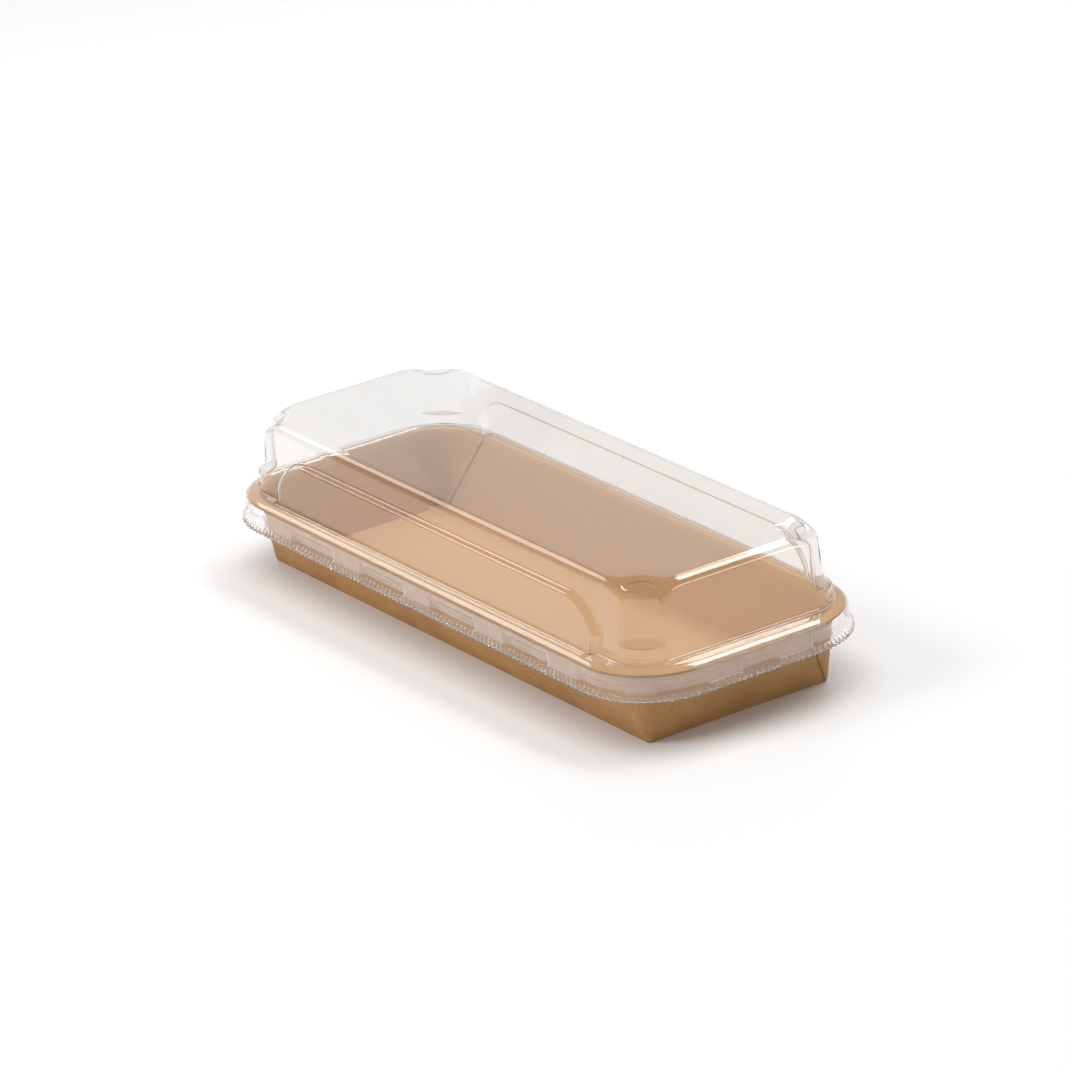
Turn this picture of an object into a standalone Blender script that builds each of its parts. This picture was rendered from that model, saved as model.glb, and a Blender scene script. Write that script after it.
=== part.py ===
"""Long kraft-board takeaway sushi tray with its clear press-on lid, empty.

Metres, +Z up. X runs along the tray, Y across it. The origin is the centre of
the base's underside, so the tray stands on z = 0. Each ring of the lid is a
rounded rectangle, worked out as one inner core rectangle pushed outwards, so
that all its corner arcs share their four centres.
"""

import math

import bmesh
import bpy
from mathutils import Vector

# Driving sizes of the tray
BASE_LENGTH = 0.1940
BASE_WIDTH = 0.0640
BASE_CORNER = 0.0007        # the folded board is all but sharp at its base corners
BOARD = 0.0005              # board thickness
RIM_HEIGHT = 0.0240         # top of the rim flange above the table
WALL_FLARE = 0.335          # outward run of the wall for each unit of height
CORNER_GROWTH = 0.82        # gain in corner radius for each unit of height
RIM_REACH = 0.0113          # outer edge of the rim, outside the base outline
RIM_ROLL = 0.0008           # width of the rolled edge
RIM_DROP = 0.0003           # and how far it turns down
TRAY_ARC_STEPS = 8          # straight pieces in each corner arc
TRAY_SMOOTH_ANGLE = 35.0

# Driving sizes of the lid; offsets are measured outwards from the base outline
SHEET = 0.0004              # thickness of the clear sheet
LID_TOP = 0.0478
TOP_FILLET = 0.0033
TOP_FILLET_TURNS = (0.0, 30.0, 60.0, 90.0)
WALL_TOP_OFFSET = 0.0032
FOOT_OFFSET = 0.0049
FOOT_HEIGHT = 0.0258
FOOT_CORNER = 0.0115        # the dome's corner radius at its foot
DOME_CORNER = 0.0085        # and from the flute shelves upwards
LEDGE_HEIGHT = 0.0302       # shelf at the bottom of each corner flute
LEDGE_RISE = 0.0005
LID_SMOOTH_ANGLE = 30.0

# Corner flutes: an upright hollow pressed into each corner of the dome
FLUTE_DISTANCE = 0.0232     # flute axis, measured from the corner centre
FLUTE_RADIUS = 0.0095
FLUTE_BLEND = 0.0014        # rounding where the flute meets the walls
DIP_DEPTH = 0.0021          # the top panel sinks towards each flute
DIP_REACH = 0.0120
DIP_POWER = 1.6

# Arched panels: both long walls stand out below an arched shelf
ARCH_BULGE = 0.0022
ARCH_HEIGHT = 0.0393
ARCH_HALF = 0.0825          # half length of the arch at its feet
ARCH_CORNER = 0.0150        # length of each curved shoulder
ARCH_SHELF = 0.0007         # rise of the shelf between panel and wall
ARCH_END = 0.0013           # length of the slope at each foot of the arch

# Bead over the tray's rim: a raised band with a small step on either side
BEAD_TOP = 0.0251
BEAD_OUTER = 0.0112
BEAD_INNER = 0.0092
BEAD_FOOT = 0.0086
BEAD_FLAT = 0.0247          # height of the flat between the bead and the dome
FOOT_STEP = 0.0007          # run of the small slope at the foot of the dome

# Skirt down from the bead, as offset and height, then the flange below it
SKIRT_TOP = (0.0120, 0.0241)
SKIRT_MIDDLE = (0.0121, 0.0222)
SKIRT_LOW = (0.0122, 0.0190)
SKIRT_FOOT = (0.0124, 0.0183)
FLANGE_SHOULDER = (0.0131, 0.0176)
FLANGE_EDGE = (0.0134, 0.0161)

# Snap lugs: the lower skirt steps in under the rim along these stretches
LUG_DEPTH = 0.0018
LUG_STEP = 0.0010           # length over which a lug starts or ends
SIDE_END = 1.0              # a stretch that runs on into the corner
LONG_LUGS = ((0.0074, 0.0293), (0.0450, 0.0660), (0.0820, SIDE_END))
SHORT_LUGS = ((-0.0058, 0.0058), (0.0191, SIDE_END))
CORNER_GAP = (34.0, 57.0)   # degrees of each corner arc that carry no lug

# Top panel: a ring inside the fillet, and one more under the flat middle
PANEL_RING = 0.0030
PANEL_CORE_INSET = 0.0080

# Plan shared by every ring of the lid, and where its stations stand
CORE_INSET = 0.0117         # the corner centres lie this far inside the base outline
CORE_X = BASE_LENGTH / 2 - CORE_INSET
CORE_Y = BASE_WIDTH / 2 - CORE_INSET
HALF_CORNER_TURNS = (0, 9, 16, 20.5, 23, 25.5, 29, 34, 39.5, 45)   # degrees, close at the flutes
SHOULDER_SHARES = (0.8, 0.55, 0.35, 0.2, 0.09)    # stations along a curved shoulder of the arch
SPAN_PLACES = (0.0180, 0.0370, 0.0560)            # stations between the lugs of a long side


def clear_scene():
    for item in list(bpy.data.objects):
        bpy.data.objects.remove(item, do_unlink=True)


def make_material(name, color, roughness, alpha=1.0, transmission=0.0):
    material = bpy.data.materials.new(name)
    material.use_nodes = True
    shader = material.node_tree.nodes["Principled BSDF"]
    shader.inputs["Base Color"].default_value = (*color, 1.0)
    shader.inputs["Roughness"].default_value = roughness
    shader.inputs["Metallic"].default_value = 0.0
    shader.inputs["Alpha"].default_value = alpha
    shader.inputs["Transmission Weight"].default_value = transmission
    return material


def mix(low, high, share):
    return low + (high - low) * share


def ease(value):
    value = min(1.0, max(0.0, value))
    return value * value * (3.0 - 2.0 * value)


def soft_minimum(first, second, blend):
    """The lesser of two lengths, rounded off where they cross."""
    share = min(1.0, max(0.0, 0.5 + 0.5 * (second - first) / blend))
    return mix(second, first, share) - blend * share * (1.0 - share)


class Station:
    """One place on the plan: a point of the core rectangle and its outward direction."""

    def __init__(self, core, outward, side, along=0.0, turn=0.0):
        self.core = Vector(core)
        self.outward = Vector(outward)
        self.side = side          # "long", "short" or "corner"
        self.along = along        # distance from the middle of the side
        self.turn = turn          # degrees round the corner arc, from the long side

    def at(self, reach, height):
        point = self.core + self.outward * reach
        return Vector((point.x, point.y, height))

    def lug(self):
        """1 where a snap lug steps the lower skirt in, 0 between the lugs."""
        if self.side == "corner":
            first, last = CORNER_GAP
            return 0.0 if first <= self.turn <= last else 1.0
        stretches = LONG_LUGS if self.side == "long" else SHORT_LUGS
        place = abs(self.along)
        return 1.0 if any(start < place < end for start, end in stretches) else 0.0

    def arch_height(self):
        """Height of the arched shelf here; low down it runs into the flute shelf."""
        if self.side != "long":
            return LEDGE_HEIGHT
        run = (abs(self.along) - (ARCH_HALF - ARCH_CORNER)) / ARCH_CORNER
        if run >= 1.0:
            return LEDGE_HEIGHT
        arc = math.sqrt(1.0 - max(0.0, run) ** 2)
        return max(LEDGE_HEIGHT, mix(FOOT_HEIGHT, ARCH_HEIGHT, arc))

    def arch_bulge(self):
        if self.side != "long":
            return 0.0
        return ARCH_BULGE * ease((ARCH_HALF - abs(self.along)) / ARCH_END)

    def dome(self, offset, radius):
        """Reach of a dome ring here; its corners are tighter than the rings below it."""
        reach = CORE_INSET + offset
        if self.side != "corner":
            return reach
        turn = math.radians(min(self.turn, 90.0 - self.turn))
        start = reach - radius
        if reach * math.tan(turn) <= start:
            return reach / math.cos(turn)
        along = start * (math.cos(turn) + math.sin(turn))
        return along + math.sqrt(along ** 2 - 2.0 * start ** 2 + radius ** 2)

    def flute(self, reach):
        """Reach of the dome wall here once the corner flute is pressed in."""
        if self.side != "corner":
            return reach
        swing = math.radians(self.turn - 45.0)
        across = FLUTE_DISTANCE * math.sin(swing)
        if abs(across) >= FLUTE_RADIUS:
            return reach
        hollow = FLUTE_DISTANCE * math.cos(swing) - math.sqrt(FLUTE_RADIUS ** 2 - across ** 2)
        return soft_minimum(reach, hollow, FLUTE_BLEND)

    def dip(self, reach):
        """How far the top sinks at this reach, from its distance to the nearest flute."""
        point = self.core + self.outward * reach
        axis = FLUTE_DISTANCE / math.sqrt(2.0)
        gap = math.hypot(abs(point.x) - CORE_X - axis, abs(point.y) - CORE_Y - axis) - FLUTE_RADIUS
        share = 1.0 - min(1.0, max(0.0, gap / DIP_REACH))
        return DIP_DEPTH * share ** DIP_POWER


def both_ways(half, marks):
    """Distances from the middle of a side to each mark on it, both ways."""
    places = sorted(mark for mark in marks if 0.0 < mark < half)
    return [-place for place in reversed(places)] + [0.0] + places


def lug_marks(stretches):
    """Two close marks at each end of a lug, so that its step stays short."""
    edges = [edge for stretch in stretches for edge in stretch if 0.0 < edge < SIDE_END]
    return [edge + shift for edge in edges for shift in (-LUG_STEP / 2, LUG_STEP / 2)]


def plan_stations():
    """Stations once round the plan, anticlockwise from the lower end of the +X side."""
    shoulder_marks = [ARCH_HALF - ARCH_CORNER * share for share in SHOULDER_SHARES]
    long_run = both_ways(CORE_X, lug_marks(LONG_LUGS) + shoulder_marks + list(SPAN_PLACES))
    short_run = both_ways(CORE_Y, lug_marks(SHORT_LUGS))
    from_long = list(HALF_CORNER_TURNS) + [90 - turn for turn in reversed(HALF_CORNER_TURNS[:-1])]
    from_short = from_long[::-1]
    stations = []

    def corner(sign_x, sign_y, turns):
        for turn in turns:
            angle = math.radians(turn)
            outward = (sign_x * math.sin(angle), sign_y * math.cos(angle))
            stations.append(Station((sign_x * CORE_X, sign_y * CORE_Y), outward, "corner", turn=turn))

    for place in short_run:
        stations.append(Station((CORE_X, place), (1, 0), "short", place))
    corner(1, 1, from_short)
    for place in reversed(long_run):
        stations.append(Station((place, CORE_Y), (0, 1), "long", place))
    corner(-1, 1, from_long)
    for place in reversed(short_run):
        stations.append(Station((-CORE_X, place), (-1, 0), "short", place))
    corner(-1, -1, from_short)
    for place in long_run:
        stations.append(Station((place, -CORE_Y), (0, -1), "long", place))
    corner(1, -1, from_long)
    return stations


def start_ring(bm, points):
    verts = [bm.verts.new(point) for point in points]
    edges = [bm.edges.new((vert, verts[(index + 1) % len(verts)])) for index, vert in enumerate(verts)]
    return verts, edges


def extrude_ring(bm, ring, points):
    """Extrude a ring of edges and set the new ring on the given points."""
    verts, edges = ring
    made = bmesh.ops.extrude_edge_only(bm, edges=edges)["geom"]
    new_edges = [item for item in made if isinstance(item, bmesh.types.BMEdge)]
    new_verts = []
    for vert in verts:
        upright = [edge for edge in vert.link_edges if edge not in edges and
                   edge.other_vert(vert) in made]
        new_verts.append(upright[0].other_vert(vert))
    for vert, point in zip(new_verts, points):
        vert.co = point
    ring_edges = [edge for edge in new_edges if edge.verts[0] in new_verts and edge.verts[1] in new_verts]
    return new_verts, ring_edges


def finish_object(bm, name, material, smooth_angle):
    mesh = bpy.data.meshes.new(name)
    bm.to_mesh(mesh)
    bm.free()
    mesh.materials.append(material)
    mesh.shade_smooth()
    mesh.set_sharp_from_angle(angle=math.radians(smooth_angle))
    item = bpy.data.objects.new(name, mesh)
    bpy.context.collection.objects.link(item)
    return item


def tray_ring(reach, radius, height):
    """A rounded rectangle that stands off the base outline by reach."""
    points = []
    for sign_x, sign_y, start in ((1, 1, 0.0), (-1, 1, 90.0), (-1, -1, 180.0), (1, -1, 270.0)):
        centre_x = sign_x * (BASE_LENGTH / 2 + reach - radius)
        centre_y = sign_y * (BASE_WIDTH / 2 + reach - radius)
        for step in range(TRAY_ARC_STEPS + 1):
            angle = math.radians(start + 90.0 * step / TRAY_ARC_STEPS)
            points.append(Vector((centre_x + radius * math.cos(angle),
                                  centre_y + radius * math.sin(angle), height)))
    return points


def wall_ring(height, inward=0.0):
    """The tray's wall at one height; its corners open from sharp to round."""
    radius = max(BASE_CORNER, BASE_CORNER + CORNER_GROWTH * height - inward)
    return tray_ring(WALL_FLARE * height - inward, radius, height)


def make_tray(material):
    """One folded sheet of board: flat base, flared walls and an outward rim flange."""
    under_rim = RIM_HEIGHT - BOARD
    wall_reach = WALL_FLARE * under_rim
    wall_radius = BASE_CORNER + CORNER_GROWTH * under_rim
    rim_radius = wall_radius + RIM_REACH - wall_reach
    rows = [
        wall_ring(under_rim),
        tray_ring(RIM_REACH - RIM_ROLL, rim_radius - RIM_ROLL, under_rim),
        tray_ring(RIM_REACH, rim_radius, under_rim - RIM_DROP),
        tray_ring(RIM_REACH, rim_radius, RIM_HEIGHT - RIM_DROP),
        tray_ring(RIM_REACH - RIM_ROLL, rim_radius - RIM_ROLL, RIM_HEIGHT),
        wall_ring(RIM_HEIGHT, BOARD),
        wall_ring(BOARD, BOARD),
    ]
    bm = bmesh.new()
    ring = start_ring(bm, wall_ring(0.0))
    bmesh.ops.contextual_create(bm, geom=ring[1])
    for row in rows:
        ring = extrude_ring(bm, ring, row)
    bmesh.ops.contextual_create(bm, geom=ring[1])
    bmesh.ops.recalc_face_normals(bm, faces=bm.faces[:])
    return finish_object(bm, "tray", material, TRAY_SMOOTH_ANGLE)


def wall_offset(height):
    """The dome's draft: its wall leans in from the foot to the top fillet."""
    share = (height - FOOT_HEIGHT) / (LID_TOP - TOP_FILLET - FOOT_HEIGHT)
    return mix(FOOT_OFFSET, WALL_TOP_OFFSET, share)


def rim_rows(stations):
    """The rings of the flange, the snap skirt and the bead, from below."""
    def ring(offset, height, inward=0.0):
        return [station.at(CORE_INSET + offset - inward * station.lug(), height) for station in stations]

    return [
        ring(*FLANGE_EDGE),
        ring(*FLANGE_SHOULDER),
        ring(*SKIRT_FOOT, inward=LUG_DEPTH),
        ring(*SKIRT_LOW, inward=LUG_DEPTH),
        ring(*SKIRT_MIDDLE),
        ring(*SKIRT_TOP),
        ring(BEAD_OUTER, BEAD_TOP),
        ring(BEAD_INNER, BEAD_TOP),
        ring(BEAD_FOOT, BEAD_FLAT),
    ]


def foot_row(stations, run, height):
    """A ring at the foot of the dome, run outwards from it."""
    return [station.at(station.dome(FOOT_OFFSET, FOOT_CORNER) + station.arch_bulge() + run, height)
            for station in stations]


def shelf_rows(stations):
    """The outer and inner edge of the shelf: arched on the long walls, flat under the flutes."""
    outer, inner = [], []
    for station in stations:
        height = station.arch_height()
        reach = station.dome(wall_offset(height), DOME_CORNER)
        outer.append(station.at(reach + station.arch_bulge(), height))
        height += mix(LEDGE_RISE, ARCH_SHELF, station.arch_bulge() / ARCH_BULGE)
        reach = station.dome(wall_offset(height), DOME_CORNER)
        inner.append(station.at(station.flute(reach), height))
    return [outer, inner]


def top_rows(stations):
    """The rounded top edge, which sinks towards the flutes, and the rings of the top panel."""
    shoulder = LID_TOP - TOP_FILLET
    wall_reach = [station.flute(station.dome(WALL_TOP_OFFSET, DOME_CORNER)) for station in stations]
    rows = []
    for turn in TOP_FILLET_TURNS:
        inset = TOP_FILLET * (1.0 - math.cos(math.radians(turn)))
        rise = TOP_FILLET * math.sin(math.radians(turn))
        rows.append([station.at(reach - inset, shoulder + rise - station.dip(reach))
                     for station, reach in zip(stations, wall_reach)])
    rows.append([station.at(PANEL_RING, LID_TOP - station.dip(PANEL_RING)) for station in stations])
    inner = []
    for station in stations:
        point = station.at(PANEL_RING, LID_TOP)
        point.x -= station.core.x * PANEL_CORE_INSET / CORE_X
        point.y -= station.core.y * PANEL_CORE_INSET / CORE_Y
        inner.append(point)
    rows.append(inner)
    return rows


def make_lid(material):
    """One thermoformed clear sheet: flange, snap skirt, bead, fluted dome and top panel."""
    stations = plan_stations()
    dome_foot = [foot_row(stations, FOOT_STEP, BEAD_FLAT), foot_row(stations, 0.0, FOOT_HEIGHT)]
    rows = rim_rows(stations) + dome_foot + shelf_rows(stations) + top_rows(stations)
    bm = bmesh.new()
    ring = start_ring(bm, rows[0])
    for row in rows[1:]:
        ring = extrude_ring(bm, ring, row)
    panel = bmesh.ops.contextual_create(bm, geom=ring[1])["faces"][0]
    bmesh.ops.recalc_face_normals(bm, faces=bm.faces[:])
    panel.normal_update()
    if panel.normal.z < 0.0:
        bmesh.ops.reverse_faces(bm, faces=bm.faces[:])
    item = finish_object(bm, "lid", material, LID_SMOOTH_ANGLE)
    wall = item.modifiers.new("sheet", "SOLIDIFY")
    wall.thickness = SHEET
    wall.offset = -1.0
    wall.use_even_offset = True
    wall.use_quality_normals = True
    return item


def main():
    clear_scene()
    kraft = make_material("kraft_board", (0.39, 0.21, 0.095), 0.8)
    clear = make_material("clear_sheet", (0.95, 0.96, 0.97), 0.08, alpha=0.35, transmission=0.8)
    make_tray(kraft)
    make_lid(clear)


main()
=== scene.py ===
import math

import bmesh
import bpy
from mathutils import Matrix, Vector


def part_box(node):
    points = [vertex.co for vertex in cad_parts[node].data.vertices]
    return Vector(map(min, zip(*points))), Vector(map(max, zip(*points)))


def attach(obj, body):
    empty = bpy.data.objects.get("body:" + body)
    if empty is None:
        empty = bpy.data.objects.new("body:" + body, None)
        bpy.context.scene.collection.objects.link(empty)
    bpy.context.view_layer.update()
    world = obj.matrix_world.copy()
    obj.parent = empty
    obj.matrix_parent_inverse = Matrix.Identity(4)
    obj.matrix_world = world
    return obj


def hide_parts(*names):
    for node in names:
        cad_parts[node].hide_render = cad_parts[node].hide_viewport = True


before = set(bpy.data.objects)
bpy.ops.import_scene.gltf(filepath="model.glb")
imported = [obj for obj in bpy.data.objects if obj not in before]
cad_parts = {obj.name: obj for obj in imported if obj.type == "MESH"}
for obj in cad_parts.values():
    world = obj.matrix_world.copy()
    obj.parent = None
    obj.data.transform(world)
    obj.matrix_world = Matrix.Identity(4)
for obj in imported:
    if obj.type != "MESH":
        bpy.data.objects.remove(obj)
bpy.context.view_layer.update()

# Kraft-board takeaway tray with its clear press-on lid. Metres throughout; +X runs
# along the tray, -Y is the long side that faces the camera.

trayLow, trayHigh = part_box("tray")
lidLow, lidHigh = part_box("lid")


# Small helpers

def mixValues(low, high, share):
    return low + (high - low) * share


def easeStep(value):
    value = min(1.0, max(0.0, value))
    return value * value * (3.0 - 2.0 * value)


def softMinimum(first, second, blend):
    share = min(1.0, max(0.0, 0.5 + 0.5 * (second - first) / blend))
    return mixValues(second, first, share) - blend * share * (1.0 - share)


def placeRing(verts, points):
    for vert, point in zip(verts, points):
        vert.co = point


def startRing(bm, points):
    verts = bmesh.ops.create_circle(bm, segments=len(points), radius=1.0)["verts"]
    placeRing(verts, points)
    return verts


def extrudeRing(bm, verts, points):
    # pulls a new ring out of the last one and lays it on its own points
    ring = set(verts)
    edges = [edge for vert in verts for edge in vert.link_edges
             if edge.verts[0] is vert and edge.other_vert(vert) in ring]
    edges += [edge for vert in verts for edge in vert.link_edges
              if edge.verts[1] is vert and edge.other_vert(vert) in ring]
    made = bmesh.ops.extrude_edge_only(bm, edges=list(dict.fromkeys(edges)))["geom"]
    fresh = {item for item in made if isinstance(item, bmesh.types.BMVert)}
    newVerts = [next(edge.other_vert(vert) for edge in vert.link_edges if edge.other_vert(vert) in fresh)
                for vert in verts]
    placeRing(newVerts, points)
    return newVerts


def makePiece(bm, name, materials, smoothAngle):
    mesh = bpy.data.meshes.new(name)
    bm.to_mesh(mesh)
    bm.free()
    for material in materials:
        mesh.materials.append(material)
    mesh.shade_smooth()
    mesh.set_sharp_from_angle(angle=math.radians(smoothAngle))
    piece = bpy.data.objects.new(name, mesh)
    bpy.context.scene.collection.objects.link(piece)
    return piece


# Node helpers

def addNode(tree, kind, place, **inputs):
    node = tree.nodes.new(kind)
    node.location = place
    for key, value in inputs.items():
        node.inputs[key.replace("_", " ")].default_value = value
    return node


def newMaterial(name):
    material = bpy.data.materials.new(name)
    material.use_nodes = True
    tree = material.node_tree
    tree.nodes.clear()
    output = tree.nodes.new("ShaderNodeOutputMaterial")
    output.location = (900, 0)
    return material, tree, output


def rampNode(tree, place, stops):
    ramp = tree.nodes.new("ShaderNodeValToRGB")
    ramp.location = place
    elements = ramp.color_ramp.elements
    while len(elements) < len(stops):
        elements.new(0.5)
    for element, (position, color) in zip(elements, stops):
        element.position = position
        element.color = (*color, 1.0)
    return ramp


# Board: one fibre pattern serves the outside, the inside and the cut edge

fibreSettings = {
    "length": 0.0040,         # of one fibre, metres
    "width": 0.00035,
    "firstTurn": (0.2, 0.1, 0.35),
    "secondTurn": (0.9, 0.3, 2.2),      # a second set of fibres lies across the first
    "secondWidth": 1.4,                 # its width and length next to the first set's
    "secondLength": 0.7,
    "cloud": 0.0140,          # size of the darker and lighter clouds
    "speck": 0.0009,
    "speckRange": (0.66, 0.76),         # only the peaks of the noise become specks
}


def buildFibreGroup():
    group = bpy.data.node_groups.new("boardFibre", "ShaderNodeTree")
    sockets = group.interface
    sockets.new_socket("Cloud strength", in_out="INPUT", socket_type="NodeSocketFloat").default_value = 1.0
    sockets.new_socket("Tone", in_out="OUTPUT", socket_type="NodeSocketFloat")
    sockets.new_socket("Fleck", in_out="OUTPUT", socket_type="NodeSocketFloat")
    sockets.new_socket("Height", in_out="OUTPUT", socket_type="NodeSocketFloat")
    entry = group.nodes.new("NodeGroupInput")
    entry.location = (-900, 0)
    leave = group.nodes.new("NodeGroupOutput")
    leave.location = (700, 0)
    place = group.nodes.new("ShaderNodeTexCoord")
    place.location = (-900, -300)

    def stretched(turn, across, along):
        mapping = group.nodes.new("ShaderNodeMapping")
        mapping.location = (-650, -300)
        mapping.inputs["Rotation"].default_value = turn
        mapping.inputs["Scale"].default_value = (1.0 / along, 1.0 / across, 1.0 / across)
        group.links.new(place.outputs["Object"], mapping.inputs["Vector"])
        noise = addNode(group, "ShaderNodeTexNoise", (-400, -300), Scale=1.0, Detail=3.0, Roughness=0.55)
        group.links.new(mapping.outputs["Vector"], noise.inputs["Vector"])
        return noise.outputs["Fac"]

    def joined(first, second, operation, factor=None):
        node = group.nodes.new("ShaderNodeMath")
        node.operation = operation
        node.location = (-100, -300)
        group.links.new(first, node.inputs[0])
        if factor is None:
            group.links.new(second, node.inputs[1])
        else:
            node.inputs[1].default_value = factor
        return node.outputs[0]

    width, length = fibreSettings["width"], fibreSettings["length"]
    fibreA = stretched(fibreSettings["firstTurn"], width, length)
    fibreB = stretched(fibreSettings["secondTurn"], width * fibreSettings["secondWidth"],
                       length * fibreSettings["secondLength"])
    fibres = joined(fibreA, fibreB, "ADD")
    cloud = addNode(group, "ShaderNodeTexNoise", (-400, 200), Scale=1.0 / fibreSettings["cloud"],
                    Detail=4.0, Roughness=0.6)
    group.links.new(place.outputs["Object"], cloud.inputs["Vector"])
    shifted = joined(cloud.outputs["Fac"], None, "SUBTRACT", 0.5)
    cloudy = group.nodes.new("ShaderNodeMath")
    cloudy.operation = "MULTIPLY"
    group.links.new(shifted, cloudy.inputs[0])
    group.links.new(entry.outputs["Cloud strength"], cloudy.inputs[1])
    half = joined(fibres, None, "MULTIPLY", 0.5)
    tone = joined(half, cloudy.outputs[0], "ADD")
    group.links.new(tone, leave.inputs["Tone"])
    group.links.new(half, leave.inputs["Height"])

    specks = addNode(group, "ShaderNodeTexNoise", (-400, 500), Scale=1.0 / fibreSettings["speck"],
                     Detail=2.0, Roughness=0.5)
    group.links.new(place.outputs["Object"], specks.inputs["Vector"])
    rare = group.nodes.new("ShaderNodeMapRange")
    rare.location = (-100, 500)
    for end, value in zip(("From Min", "From Max"), fibreSettings["speckRange"]):
        rare.inputs[end].default_value = value
    group.links.new(specks.outputs["Fac"], rare.inputs["Value"])
    group.links.new(rare.outputs["Result"], leave.inputs["Fleck"])
    return group


boardFinishes = {
    "kraftOutside": {"dark": (0.375, 0.186, 0.060), "light": (0.495, 0.266, 0.099),
                     "roughness": 0.62, "cloud": 0.5, "bump": 0.20},
    # painted light: the inside board is lighter and paler than the outside, standing in for sheen and the
    # veil seen through the lid
    "kraftInsideLit": {"dark": (0.503, 0.289, 0.127), "light": (0.525, 0.305, 0.138),
                    "roughness": 0.60, "cloud": 0.35, "bump": 0.02},
    "kraftCutEdge": {"dark": (0.350, 0.200, 0.095), "light": (0.540, 0.355, 0.195),
                     "roughness": 0.80, "cloud": 0.3, "bump": 0.40},
}
toneRange = (0.38, 0.64)                # the fibre tones that get the dark and the light colour
speckColor = (0.72, 0.66, 0.60, 1.0)    # a speck darkens the board by this
fibreHeight = 0.00006


def boardMaterial(name, fibreGroup):
    finish = boardFinishes[name]
    material, tree, output = newMaterial(name)
    fibre = tree.nodes.new("ShaderNodeGroup")
    fibre.node_tree = fibreGroup
    fibre.location = (-500, 0)
    fibre.inputs["Cloud strength"].default_value = finish["cloud"]
    ramp = rampNode(tree, (-250, 150), [(toneRange[0], finish["dark"]), (toneRange[1], finish["light"])])
    tree.links.new(fibre.outputs["Tone"], ramp.inputs["Fac"])
    fleck = tree.nodes.new("ShaderNodeMix")
    fleck.data_type = "RGBA"
    fleck.blend_type = "MULTIPLY"
    fleck.location = (100, 150)
    fleck.inputs[7].default_value = speckColor
    tree.links.new(fibre.outputs["Fleck"], fleck.inputs[0])
    tree.links.new(ramp.outputs["Color"], fleck.inputs[6])
    bump = addNode(tree, "ShaderNodeBump", (300, -250), Strength=finish["bump"], Distance=fibreHeight)
    tree.links.new(fibre.outputs["Height"], bump.inputs["Height"])
    shader = addNode(tree, "ShaderNodeBsdfPrincipled", (550, 0), Roughness=finish["roughness"])
    tree.links.new(fleck.outputs[2], shader.inputs["Base Color"])
    tree.links.new(bump.outputs["Normal"], shader.inputs["Normal"])
    tree.links.new(shader.outputs["BSDF"], output.inputs["Surface"])
    return material


# Clear sheet: plain glass-like plastic; lamps and bounced light pass straight through it

sheetFinishes = {
    "clearSheet": {"tint": (0.978, 0.977, 0.974), "roughness": 0.0, "through": 1.0,
                   "ripple": 0.006, "rippleDepth": 0.000010},
    "ribbedSheet": {"tint": (0.985, 0.98, 0.975), "roughness": 0.05, "through": 0.95,
                    "ripple": 0.0012, "rippleDepth": 0.000010},
    # partly painted reflection: a tenth of the skirt's light is a pale pink diffuse layer, real haze of
    # the sheet plus a painted veil of reflected white surroundings
    "hazeAndVeilSheet": {"tint": (0.97, 0.95, 0.965), "roughness": 0.05, "through": 0.90,
                  "ripple": 0.0030, "rippleDepth": 0.000012},
}
sheetIndex = 1.57                        # refractive index
sheetPassed = (0.985, 0.983, 0.978)      # what one surface lets through to things behind it


def sheetMaterial(name):
    finish = sheetFinishes[name]
    material, tree, output = newMaterial(name)
    shader = addNode(tree, "ShaderNodeBsdfPrincipled", (0, 0), Roughness=finish["roughness"],
                     IOR=sheetIndex, Transmission_Weight=finish["through"])
    shader.inputs["Base Color"].default_value = (*finish["tint"], 1.0)
    place = tree.nodes.new("ShaderNodeTexCoord")
    place.location = (-800, -250)
    ripple = addNode(tree, "ShaderNodeTexNoise", (-550, -250), Scale=1.0 / finish["ripple"],
                     Detail=2.0, Roughness=0.5)
    tree.links.new(place.outputs["Object"], ripple.inputs["Vector"])
    bump = addNode(tree, "ShaderNodeBump", (-250, -250), Strength=1.0, Distance=finish["rippleDepth"])
    tree.links.new(ripple.outputs["Fac"], bump.inputs["Height"])
    tree.links.new(bump.outputs["Normal"], shader.inputs["Normal"])
    passed = tree.nodes.new("ShaderNodeBsdfTransparent")
    passed.location = (0, -500)
    passed.inputs["Color"].default_value = (*sheetPassed, 1.0)
    rays = tree.nodes.new("ShaderNodeLightPath")
    rays.location = (0, 400)
    surface = shader.outputs["BSDF"]
    for step, kind in enumerate(("Is Diffuse Ray", "Is Shadow Ray")):
        through = tree.nodes.new("ShaderNodeMixShader")
        through.location = (350 + 250 * step, 0)
        tree.links.new(rays.outputs[kind], through.inputs[0])
        tree.links.new(surface, through.inputs[1])
        tree.links.new(passed.outputs["BSDF"], through.inputs[2])
        surface = through.outputs["Shader"]
    tree.links.new(surface, output.inputs["Surface"])
    return material


# Lid: reaches are measured outwards from the rectangle through the corner centres

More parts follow.
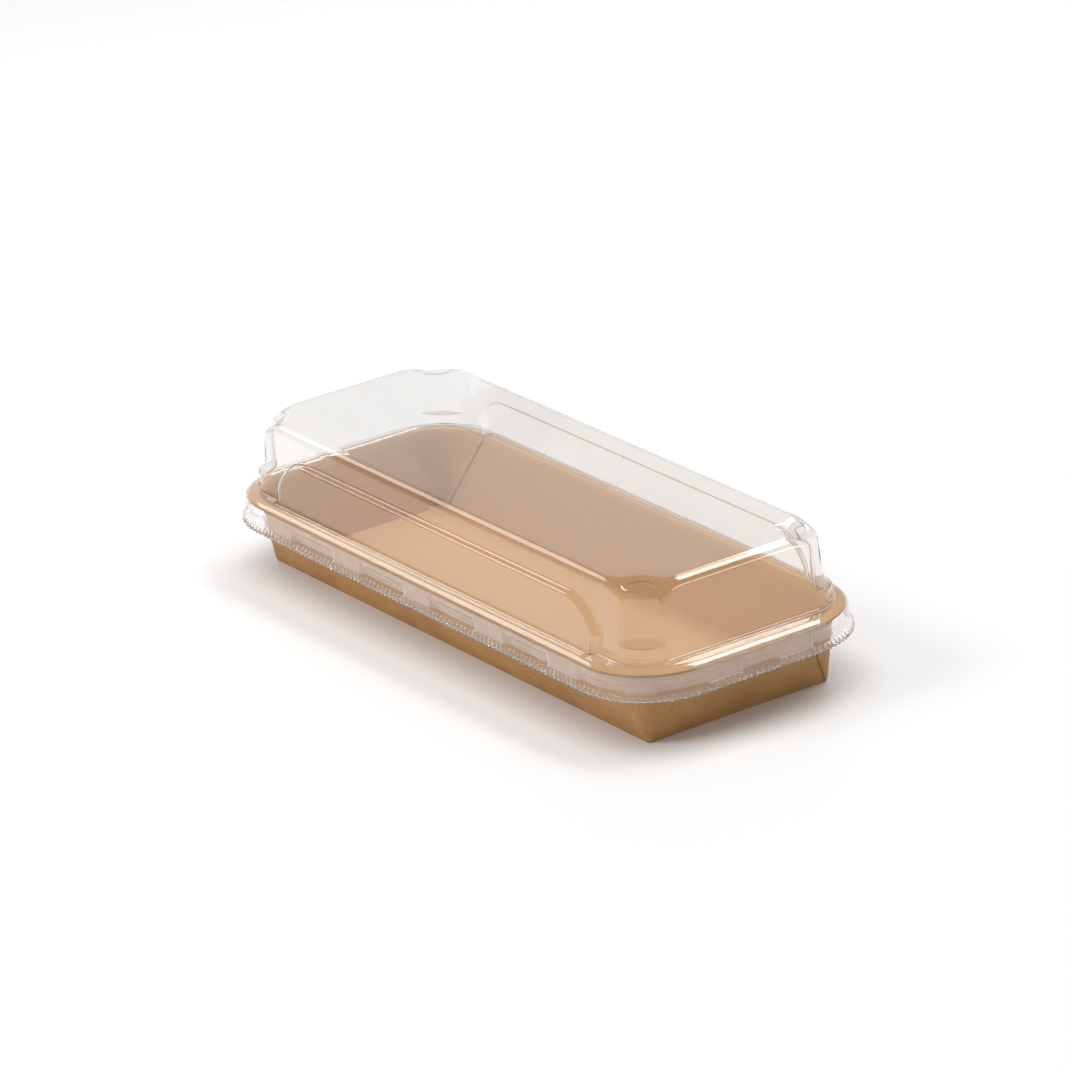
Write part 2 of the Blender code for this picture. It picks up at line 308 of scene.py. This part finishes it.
lidShape = {
    "teeth": 282,               # fine ribs round the flange
    "stationsPerTooth": 6,
    "straightStride": 6,        # above the flange the wall keeps one station in so many
    "curveStride": 2,
    "detailReach": 0.0018,      # finer stations this far to each side of a lug's end
    "ribRows": 4,
    "hazeAndVeilRows": 10,             # the skirt, up to the bead's side, takes the sheet with real haze and a painted veil
    "sheet": 0.00022,
    "flangeReach": 0.0251,
    "baseReach": 0.0117,        # outline of the tray's base
    "flangeBottom": 0.0161,
    "toothDepth": 0.00075,
    "toothQuietTurn": (22.0, 62.0),   # degrees of a corner arc where the ribs are shallow
    "toothQuietShare": 0.45,
    "toothQuietBlend": 8.0,     # degrees
    "webShare": (0.45, 0.6),    # where the ribs die away between shoulder and skirt
    "webTooth": 0.35,
    "skirtFoot": (0.0241, 0.0183),
    "skirtLow": (0.0239, 0.0190),
    "skirtMiddle": (0.0238, 0.0224),
    "beadSide": (0.0236, 0.0239),
    "beadShoulder": (0.0221, 0.0250),
    "beadCrestHeight": 0.0253,
    "beadCrestShare": 0.3,
    "beadStartHeight": 0.0256,
    "beadStartStep": 0.0012,
    "flangeShoulder": (0.0248, 0.0176),
    "footReach": 0.0166,
    "footHeight": 0.0258,
    "footStep": 0.0006,
    "footDrop": 0.0009,
    "footCorner": 0.0115,
    "wallTopReach": 0.0149,
    "domeCorner": 0.0085,
    "topFillet": 0.0033,
    "filletSteps": 8,
    "ledgeHeight": 0.0302,
    "ledgeRise": 0.0005,
    "panelReach": 0.0020,
    "panelCoreInset": 0.0080,
    "smoothAngle": 50.0,
}

# how far each corner of the section is rounded
lidCuts = {
    "skirtLow": 0.0003,
    "skirtMiddle": 0.0007,
    "beadSide": 0.0006,
    "beadShoulder": 0.0006,
    "beadCrest": 0.0006,
    "beadStart": 0.0004,
    "footOuter": 0.0002,
    "foot": 0.0006,
    "shelf": 0.0006,
}
cutLimit = 0.45                 # a cut takes at most this share of the side it lies on

fluteShape = {
    "distance": 0.0232,         # from the corner centre to the flute's axis
    "radius": 0.0095,
    "blend": 0.0008,
    "dipDepth": 0.0022,
    "dipReach": 0.0090,
    "dipPower": 2.0,
    "dipRows": (0.0006, 0.0012, 0.0019, 0.0027, 0.0036, 0.0047, 0.0062),
}

archShape = {
    "bulge": 0.0022,
    "height": 0.0393,
    "half": 0.0825,
    "corner": 0.0150,
    "shelf": 0.0007,
    "end": 0.0013,
    "closeShare": 0.6,          # of the corner's length, to each side of its middle, has closer stations
}

lugShape = {
    "depth": 0.0016,
    "step": 0.0018,
    "long": ((0.0074, 0.0293), (0.0450, 0.0660), (0.0820, 1.0)),
    "short": ((-1.0, 0.0058), (0.0191, 1.0)),
    "cornerGap": (33.6, 57.0),
}

coreX = lidHigh.x - lidShape["flangeReach"]
coreY = lidHigh.y - lidShape["flangeReach"]
lidTop = lidHigh.z


def planPlaces():
    # stations evenly spaced along the flange, anticlockwise from the middle of the +X end
    count = lidShape["teeth"] * lidShape["stationsPerTooth"]
    arc = lidShape["flangeReach"] * math.pi / 2
    quarter = coreY + arc + coreX
    places = []
    for index in range(count):
        walked = index * 4.0 * quarter / count
        turnNumber = int(walked // quarter)
        along = walked - turnNumber * quarter
        flipped = turnNumber % 2 == 1
        if flipped:
            along = quarter - along
        signX = 1 if turnNumber in (0, 3) else -1
        signY = 1 if turnNumber in (0, 1) else -1
        if along < coreY:
            place = {"side": "short", "along": along, "turn": 90.0,
                     "core": (signX * coreX, signY * along), "out": (signX, 0.0)}
        elif along < coreY + arc:
            angle = (along - coreY) / lidShape["flangeReach"]
            place = {"side": "corner", "along": 0.0, "turn": 90.0 - math.degrees(angle),
                     "core": (signX * coreX, signY * coreY),
                     "out": (signX * math.cos(angle), signY * math.sin(angle))}
        else:
            left = quarter - along
            place = {"side": "long", "along": left, "turn": 0.0,
                     "core": (signX * left, signY * coreY), "out": (0.0, signY)}
        place["number"] = index
        places.append(place)
    return places


def pointAt(place, reach, height):
    return Vector((place["core"][0] + place["out"][0] * reach,
                   place["core"][1] + place["out"][1] * reach, height))


def lugShare(place):
    step = lugShape["step"]
    if place["side"] == "corner":
        first, last = lugShape["cornerGap"]
        radius = lidShape["skirtLow"][0]
        fromFirst = math.radians(first - place["turn"]) * radius
        fromLast = math.radians(place["turn"] - last) * radius
        return easeStep(0.5 + max(fromFirst, fromLast) / step)
    share = 0.0
    for start, end in lugShape[place["side"]]:
        inside = min(place["along"] - start, end - place["along"])
        share = max(share, easeStep(0.5 + inside / step))
    return share


def archHeight(place):
    if place["side"] != "long":
        return lidShape["ledgeHeight"]
    run = (place["along"] - (archShape["half"] - archShape["corner"])) / archShape["corner"]
    if run >= 1.0:
        return lidShape["ledgeHeight"]
    arc = math.sqrt(1.0 - max(0.0, run) ** 2)
    return max(lidShape["ledgeHeight"], mixValues(lidShape["footHeight"], archShape["height"], arc))


def archBulge(place):
    if place["side"] != "long":
        return 0.0
    return archShape["bulge"] * easeStep((archShape["half"] - place["along"]) / archShape["end"])


def domeReach(place, reach, radius):
    # the dome turns its corners tighter than the flange does
    if place["side"] != "corner":
        return reach
    turn = math.radians(min(place["turn"], 90.0 - place["turn"]))
    start = reach - radius
    if reach * math.tan(turn) <= start:
        return reach / math.cos(turn)
    along = start * (math.cos(turn) + math.sin(turn))
    return along + math.sqrt(along ** 2 - 2.0 * start ** 2 + radius ** 2)


def wallReach(height):
    top = lidTop - lidShape["topFillet"]
    share = (height - lidShape["footHeight"]) / (top - lidShape["footHeight"])
    return mixValues(lidShape["footReach"], lidShape["wallTopReach"], share)


def fluteReach(place, reach):
    # the wall gives way to the hollow of the corner flute
    if place["side"] != "corner":
        return reach
    swing = math.radians(place["turn"] - 45.0)
    across = fluteShape["distance"] * math.sin(swing)
    if abs(across) >= fluteShape["radius"]:
        return reach
    hollow = fluteShape["distance"] * math.cos(swing) - math.sqrt(fluteShape["radius"] ** 2 - across ** 2)
    return softMinimum(reach, hollow, fluteShape["blend"])


def panelDip(place, reach):
    point = pointAt(place, reach, 0.0)
    axis = fluteShape["distance"] / math.sqrt(2.0)
    gap = math.hypot(abs(point.x) - coreX - axis, abs(point.y) - coreY - axis) - fluteShape["radius"]
    share = 1.0 - min(1.0, max(0.0, gap / fluteShape["dipReach"]))
    return fluteShape["dipDepth"] * share ** fluteShape["dipPower"]


def toothReach(place, share):
    phase = 2.0 * math.pi * place["number"] / lidShape["stationsPerTooth"]
    depth = lidShape["toothDepth"] * share
    if place["side"] == "corner":
        first, last = lidShape["toothQuietTurn"]
        inside = min(place["turn"] - first, last - place["turn"]) / lidShape["toothQuietBlend"]
        depth *= mixValues(1.0, lidShape["toothQuietShare"], easeStep(inside))
    return 0.5 * depth * (math.cos(phase) - 1.0)


def stationStride(place):
    # the wall needs close stations only round the corners, at the arch's ends and at the lugs' ends
    if place["side"] == "corner":
        return lidShape["curveStride"]
    fromShoulder = abs(place["along"] - archShape["half"] + archShape["corner"] / 2)
    if place["side"] == "long" and fromShoulder < archShape["corner"] * archShape["closeShare"]:
        return lidShape["curveStride"]
    lugEnds = [end for lug in lugShape[place["side"]] for end in lug]
    if any(abs(place["along"] - end) < lidShape["detailReach"] for end in lugEnds):
        return 1
    return lidShape["straightStride"]


def roundKeys(keys):
    # keys are (reach, height, cut): each corner with a cut becomes a small three-point curve
    points = []
    for number, (reach, height, cut) in enumerate(keys):
        here = Vector((reach, height))
        if cut == 0.0:
            points.append(here)
            continue
        before = Vector(keys[number - 1][:2]) - here
        after = Vector(keys[number + 1][:2]) - here
        first = here + before * min(cutLimit, cut / max(before.length, 1e-6))
        last = here + after * min(cutLimit, cut / max(after.length, 1e-6))
        points += [first, 0.25 * first + 0.5 * here + 0.25 * last, last]
    return points


def lidSection(place):
    shape = lidShape
    lug = lugShape["depth"] * lugShare(place)
    bulge = archBulge(place)
    foot = domeReach(place, shape["footReach"], shape["footCorner"]) + bulge
    shelf = archHeight(place)
    shelfOuter = domeReach(place, wallReach(shelf), shape["domeCorner"]) + bulge
    rise = mixValues(shape["ledgeRise"], archShape["shelf"], bulge / archShape["bulge"])
    shelfInner = fluteReach(place, domeReach(place, wallReach(shelf + rise), shape["domeCorner"]))
    skirtFoot = (shape["skirtFoot"][0] - lug, shape["skirtFoot"][1])
    webReach, webHeight = (mixValues(start, end, share) for start, end, share
                           in zip(shape["flangeShoulder"], skirtFoot, shape["webShare"]))
    crest = mixValues(foot + shape["beadStartStep"], shape["beadShoulder"][0], shape["beadCrestShare"])
    keys = [
        (shape["flangeReach"] + toothReach(place, 1.0), shape["flangeBottom"], 0.0),
        (shape["flangeShoulder"][0] + toothReach(place, 1.0), shape["flangeShoulder"][1], 0.0),
        (webReach + toothReach(place, shape["webTooth"]), webHeight, 0.0),
        (*skirtFoot, 0.0),
        (shape["skirtLow"][0] - lug, shape["skirtLow"][1], lidCuts["skirtLow"]),
        (*shape["skirtMiddle"], lidCuts["skirtMiddle"]),
        (*shape["beadSide"], lidCuts["beadSide"]),
        (*shape["beadShoulder"], lidCuts["beadShoulder"]),
        (crest, shape["beadCrestHeight"], lidCuts["beadCrest"]),
        (foot + shape["beadStartStep"], shape["beadStartHeight"], lidCuts["beadStart"]),
        (foot + shape["footStep"], shape["footHeight"] - shape["footDrop"], lidCuts["footOuter"]),
        (foot, shape["footHeight"], lidCuts["foot"]),
        (shelfOuter, shelf, lidCuts["shelf"]),
        (shelfInner, shelf + rise, lidCuts["shelf"]),
    ]
    top = lidTop - shape["topFillet"]
    wallTop = fluteReach(place, domeReach(place, shape["wallTopReach"], shape["domeCorner"]))
    keys.append((wallTop, top - panelDip(place, wallTop), 0.0))
    points = roundKeys(keys)
    for step in range(1, shape["filletSteps"] + 1):
        angle = 0.5 * math.pi * step / shape["filletSteps"]
        inset = shape["topFillet"] * (1.0 - math.cos(angle))
        height = top + shape["topFillet"] * math.sin(angle) - panelDip(place, wallTop)
        points.append(Vector((wallTop - inset, height)))
    rim = wallTop - shape["topFillet"]
    for inset in fluteShape["dipRows"]:
        points.append(Vector((rim - inset, lidTop - panelDip(place, rim - inset))))
    points.append(Vector((shape["panelReach"], lidTop - panelDip(place, shape["panelReach"]))))
    return [pointAt(place, reach, height) for reach, height in points]


def panelMiddle(places):
    ring = []
    for place in places:
        point = pointAt(place, lidShape["panelReach"], lidTop)
        point.x -= place["core"][0] * lidShape["panelCoreInset"] / coreX
        point.y -= place["core"][1] * lidShape["panelCoreInset"] / coreY
        ring.append(point)
    return ring


def buildLid(clear, ribbed, hazeAndVeil):
    places = planPlaces()
    sections = [lidSection(place) for place in places]
    rows = [list(row) for row in zip(*sections)] + [panelMiddle(places)]
    bm = bmesh.new()
    verts = startRing(bm, rows[0])
    for row in rows[1:lidShape["ribRows"]]:
        verts = extrudeRing(bm, verts, row)
    kept = [place["number"] for place in places if place["number"] % stationStride(place) == 0]
    nearest = [max(number for number in kept if number <= index) for index in range(len(places))]
    ribbedFaces = set(bm.faces)
    verts = extrudeRing(bm, verts, [rows[lidShape["ribRows"]][number] for number in nearest])
    bmesh.ops.remove_doubles(bm, verts=verts, dist=1e-7)
    verts = [vert for vert in verts if vert.is_valid]
    hazeAndVeilFaces = set()
    for number, row in enumerate(rows[lidShape["ribRows"] + 1:], lidShape["ribRows"] + 1):
        verts = extrudeRing(bm, verts, [row[place] for place in kept])
        if number == lidShape["hazeAndVeilRows"]:
            hazeAndVeilFaces = set(bm.faces)
    for face in bm.faces:
        face.material_index = 1 if face in ribbedFaces else 2 if face in hazeAndVeilFaces else 0
    panel = bmesh.ops.contextual_create(bm, geom=verts)["faces"][0]
    bmesh.ops.recalc_face_normals(bm, faces=bm.faces[:])
    panel.normal_update()
    if panel.normal.z < 0.0:
        bmesh.ops.reverse_faces(bm, faces=bm.faces[:])
    piece = makePiece(bm, "clearLid", [clear, ribbed, hazeAndVeil], lidShape["smoothAngle"])
    wall = piece.modifiers.new("sheet", "SOLIDIFY")
    wall.thickness = lidShape["sheet"]
    wall.offset = -1.0
    wall.use_even_offset = True
    wall.use_quality_normals = True
    print("lid:", len(rows), "rows,", len(places), "ribbed and", len(kept), "plain stations,",
          2 * sum(len(face.vertices) - 2 for face in piece.data.polygons), "triangles")
    return piece


# Tray: one folded sheet of board, sharp at the base corners and round at the rim

trayShape = {
    "board": 0.0005,
    "flare": 0.335,
    "baseCorner": 0.0007,
    "cornerGrowth": 0.82,
    "rimReach": 0.0113,
    "rimRoll": 0.0008,
    "rimDrop": 0.0003,
    "arcSteps": 24,
    "baseFold": 0.00018,        # the fold round the base starts this far in
    "wallRows": 10,
    "rowPower": 1.3,            # rows lie closer towards the base
    "rimInside": 0.0004,        # rounding from the rim into the tray
    "lapStart": 0.001,          # the laps begin over this height above the base
    "lapDepth": 0.00030,        # the corner ply lies this proud of the end wall
    "seamDepth": 0.00028,       # dark gap at the lap's edge
    "seamWidth": 0.00035,
    "innerSeamDepth": 0.00020,
    "seamSteps": ((2.0, 0.0), (1.0, 1.0), (0.35, 1.0)),
    "lapFadeLow": 0.0180,       # the lap dies away under the rim
    "lapFadeHigh": 0.0225,
    "smoothAngle": 40.0,
}

baseX = coreX + lidShape["baseReach"]
baseY = coreY + lidShape["baseReach"]
rimHeight = trayHigh.z


def trayRing(reach, radius, height, outerLap=0.0, innerLap=0.0):
    # one ring; the seam of the folded corner shows outside on the end wall, inside on the long wall
    shape = trayShape
    points = []
    for signX, signY, backwards in ((1, 1, False), (-1, 1, True), (-1, -1, False), (1, -1, True)):
        centreX = baseX + reach - radius
        centreY = baseY + reach - radius
        corner = []
        for shift, share in shape["seamSteps"]:
            gap = -share * shape["seamDepth"] * outerLap
            corner.append((centreX + radius + gap, centreY - shift * shape["seamWidth"]))
        for step in range(shape["arcSteps"] + 1):
            turned = step / shape["arcSteps"]
            angle = 0.5 * math.pi * turned
            proud = shape["lapDepth"] * (outerLap * (1.0 - turned) - innerLap * turned)
            corner.append((centreX + (radius + proud) * math.cos(angle),
                           centreY + (radius + proud) * math.sin(angle)))
        for shift, share in reversed(shape["seamSteps"]):
            gap = share * shape["innerSeamDepth"] * innerLap
            corner.append((centreX - shift * shape["seamWidth"], centreY + radius + gap))
        if backwards:
            corner.reverse()
        points += [Vector((signX * x, signY * y, height)) for x, y in corner]
    return points


def wallRing(height, inward=0.0, outerLap=0.0, innerLap=0.0):
    shape = trayShape
    radius = max(shape["baseCorner"], shape["baseCorner"] + shape["cornerGrowth"] * height - inward)
    return trayRing(shape["flare"] * height - inward, radius, height, outerLap, innerLap)


def lapShare(height):
    shape = trayShape
    fade = (height - shape["lapFadeLow"]) / (shape["lapFadeHigh"] - shape["lapFadeLow"])
    return (1.0 - easeStep(fade)) * easeStep(height / shape["lapStart"])


def buildTray(outside, inside, cutEdge):
    shape = trayShape
    board = shape["board"]
    underRim = rimHeight - board
    rimRadius = (shape["baseCorner"] + shape["rimReach"]
                 + (shape["cornerGrowth"] - shape["flare"]) * underRim)
    rows = [(wallRing(0.0, inward=shape["baseFold"]), 0)]
    for step in range(1, shape["wallRows"] + 1):
        share = step / shape["wallRows"]
        height = underRim * share ** shape["rowPower"]
        rows.append((wallRing(height, outerLap=lapShare(height)), 0))
    rows += [
        (trayRing(shape["rimReach"] - shape["rimRoll"], rimRadius - shape["rimRoll"], underRim), 0),
        (trayRing(shape["rimReach"], rimRadius, underRim - shape["rimDrop"]), 0),
        (trayRing(shape["rimReach"], rimRadius, rimHeight - shape["rimDrop"]), 2),
        (trayRing(shape["rimReach"] - shape["rimRoll"], rimRadius - shape["rimRoll"], rimHeight), 1),
        (wallRing(rimHeight, inward=board - shape["rimInside"]), 1),
        (wallRing(rimHeight - shape["rimInside"], inward=board), 1),
    ]
    for step in range(1, shape["wallRows"] + 1):
        share = 1.0 - step / shape["wallRows"]
        height = mixValues(board, rimHeight - shape["rimInside"], share ** shape["rowPower"])
        innerLap = easeStep((height - board) / shape["lapStart"])
        rows.append((wallRing(height, inward=board, innerLap=innerLap), 1))
    bm = bmesh.new()
    verts = startRing(bm, rows[0][0])
    bottom = bmesh.ops.contextual_create(bm, geom=verts)["faces"]
    known = set(bm.faces)
    for points, slot in rows[1:]:
        verts = extrudeRing(bm, verts, points)
        for face in set(bm.faces) - known:
            face.material_index = slot
            known.add(face)
    floor = bmesh.ops.contextual_create(bm, geom=verts)["faces"]
    for face in floor:
        face.material_index = 1
    bmesh.ops.recalc_face_normals(bm, faces=bm.faces[:])
    piece = makePiece(bm, "kraftTray", [outside, inside, cutEdge], shape["smoothAngle"])
    print("tray:", len(rows), "rows,", len(piece.data.polygons), "faces,", len(bottom), "bottom")
    return piece


# Stage

stageSettings = {
    "floorSize": 8.0,
    "floorShadeTone": 0.83,              # painted shade: the floor's darker tone under and round the tray, then its plain tone further out
    "floorFar": 0.97,
    "floorShadeBlend": (0.16, 0.60),     # the painted shade fades from and to this far from the tray's middle
    "floorRoughness": 0.55,
    "horizonTone": 0.60,            # bright walls round the table
    "ceilingTone": 0.36,
    "wallTop": 0.16,                # sine of the height where the bright walls end
    "wallFade": 0.28,
}

# "fill" lamps light the board and the floor, "shine" lamps only show as reflections; sizes in metres
lamps = {
    "key": {"work": "fill", "power": 6.0, "size": (0.60, 0.40),
            "place": (-0.40, -1.02, 0.72), "aim": (0.0, 0.0, 0.03)},
    "overhead": {"work": "fill", "power": 9.0, "size": (0.90, 0.90),
                 "place": (-0.05, -0.10, 1.30), "aim": (0.0, 0.0, 0.00)},
    "window": {"work": "both", "power": 5.0, "size": (0.85, 0.30),
               "place": (-0.02, 0.66, 1.06), "aim": (0.0, 0.0, 0.03)},
    "sideWindow": {"work": "shine", "power": 1.5, "size": (0.60, 0.26),
                   "place": (0.97, 0.67, 0.40), "aim": (0.0, 0.0, 0.03)},
    "leftWindow": {"work": "shine", "power": 0.45, "size": (0.14, 0.32),
                   "place": (-0.75, 0.72, 0.72), "aim": (0.0, 0.0, 0.03)},
    "leftStrip": {"work": "shine", "power": 1.15, "size": (0.52, 0.30),
                  "place": (-0.90, -0.28, 0.72), "aim": (0.0, 0.0, 0.04)},
    "backdrop": {"work": "shine", "power": 1.2, "size": (1.30, 0.80),
                 "place": (-1.17, 0.40, 0.55), "aim": (0.0, 0.0, 0.04)},
}

cameraSettings = {
    "azimuth": 56.51,
    "elevation": 21.735,
    "roll": -4.393,
    "distance": 2.00379,
    "across": -0.00311,
    "up": 0.025234,
    "lens": 227.57,
    "sensor": 36.0,
}


def buildFloor():
    bm = bmesh.new()
    bmesh.ops.create_grid(bm, x_segments=4, y_segments=4, size=stageSettings["floorSize"] / 2)
    material, tree, output = newMaterial("paleFloor")
    shader = addNode(tree, "ShaderNodeBsdfPrincipled", (0, 0), Roughness=stageSettings["floorRoughness"])
    place = tree.nodes.new("ShaderNodeTexCoord")
    place.location = (-900, 0)
    away = tree.nodes.new("ShaderNodeVectorMath")
    away.operation = "LENGTH"
    away.location = (-700, 0)
    tree.links.new(place.outputs["Object"], away.inputs[0])
    # painted shade: a pool of shadow round the tray, painted into the floor's colour as a ramp
    start, end = stageSettings["floorShadeBlend"]
    ramp = rampNode(tree, (-450, 0), [(start, (stageSettings["floorShadeTone"],) * 3),
                                      (end, (stageSettings["floorFar"],) * 3)])
    tree.links.new(away.outputs["Value"], ramp.inputs["Fac"])
    tree.links.new(ramp.outputs["Color"], shader.inputs["Base Color"])
    tree.links.new(shader.outputs["BSDF"], output.inputs["Surface"])
    floor = makePiece(bm, "floor", [material], 30.0)
    return floor


def buildWorld():
    world = bpy.data.worlds.new("whiteRoom")
    bpy.context.scene.world = world
    world.use_nodes = True
    tree = world.node_tree
    place = tree.nodes.new("ShaderNodeTexCoord")
    place.location = (-900, 0)
    parts = tree.nodes.new("ShaderNodeSeparateXYZ")
    parts.location = (-700, 0)
    tree.links.new(place.outputs["Generated"], parts.inputs["Vector"])
    ramp = rampNode(tree, (-500, 0), [(stageSettings["wallTop"], (stageSettings["horizonTone"],) * 3),
                                      (stageSettings["wallFade"], (stageSettings["ceilingTone"],) * 3)])
    tree.links.new(parts.outputs["Z"], ramp.inputs["Fac"])
    tree.links.new(ramp.outputs["Color"], tree.nodes["Background"].inputs["Color"])


def buildLamps():
    for name, lamp in lamps.items():
        data = bpy.data.lights.new(name, "AREA")
        data.shape = "RECTANGLE"
        data.size, data.size_y = lamp["size"]
        data.energy = lamp["power"]
        light = bpy.data.objects.new(name, data)
        light.location = lamp["place"]
        direction = Vector(lamp["aim"]) - Vector(lamp["place"])
        light.rotation_euler = direction.to_track_quat("-Z", "Y").to_euler()
        light.visible_camera = False
        light.visible_diffuse = lamp["work"] != "shine"
        light.visible_glossy = light.visible_transmission = lamp["work"] != "fill"
        bpy.context.scene.collection.objects.link(light)


def buildCamera():
    azimuth, elevation, roll = (math.radians(cameraSettings[angle])
                                for angle in ("azimuth", "elevation", "roll"))
    back = Vector((math.sin(azimuth) * math.cos(elevation), -math.cos(azimuth) * math.cos(elevation),
                   math.sin(elevation)))
    right = Vector((math.cos(azimuth), math.sin(azimuth), 0.0))
    up = back.cross(right)
    turnedRight = right * math.cos(roll) + up * math.sin(roll)
    turnedUp = up * math.cos(roll) - right * math.sin(roll)
    data = bpy.data.cameras.new("camera")
    data.lens = cameraSettings["lens"]
    data.sensor_width = cameraSettings["sensor"]
    data.clip_end = 50.0
    camera = bpy.data.objects.new("camera", data)
    eye = (turnedRight * cameraSettings["across"] + turnedUp * cameraSettings["up"]
           + back * cameraSettings["distance"])
    axes = Matrix((turnedRight, turnedUp, back)).transposed().to_4x4()
    camera.matrix_world = Matrix.Translation(eye) @ axes
    bpy.context.scene.collection.objects.link(camera)
    bpy.context.scene.camera = camera


print("stage")
buildFloor()
buildWorld()
buildLamps()
buildCamera()
bpy.context.scene.view_settings.view_transform = "Standard"
bpy.context.scene.cycles.max_bounces = 32
bpy.context.scene.cycles.transmission_bounces = 32
bpy.context.scene.cycles.glossy_bounces = 12
bpy.context.scene.cycles.transparent_max_bounces = 64

print("board")
fibreGroup = buildFibreGroup()
tray = buildTray(*(boardMaterial(name, fibreGroup)
                   for name in ("kraftOutside", "kraftInsideLit", "kraftCutEdge")))
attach(tray, "root")
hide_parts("tray")

print("lid")
lid = buildLid(*(sheetMaterial(name) for name in ("clearSheet", "ribbedSheet", "hazeAndVeilSheet")))
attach(lid, "root")
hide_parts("lid")
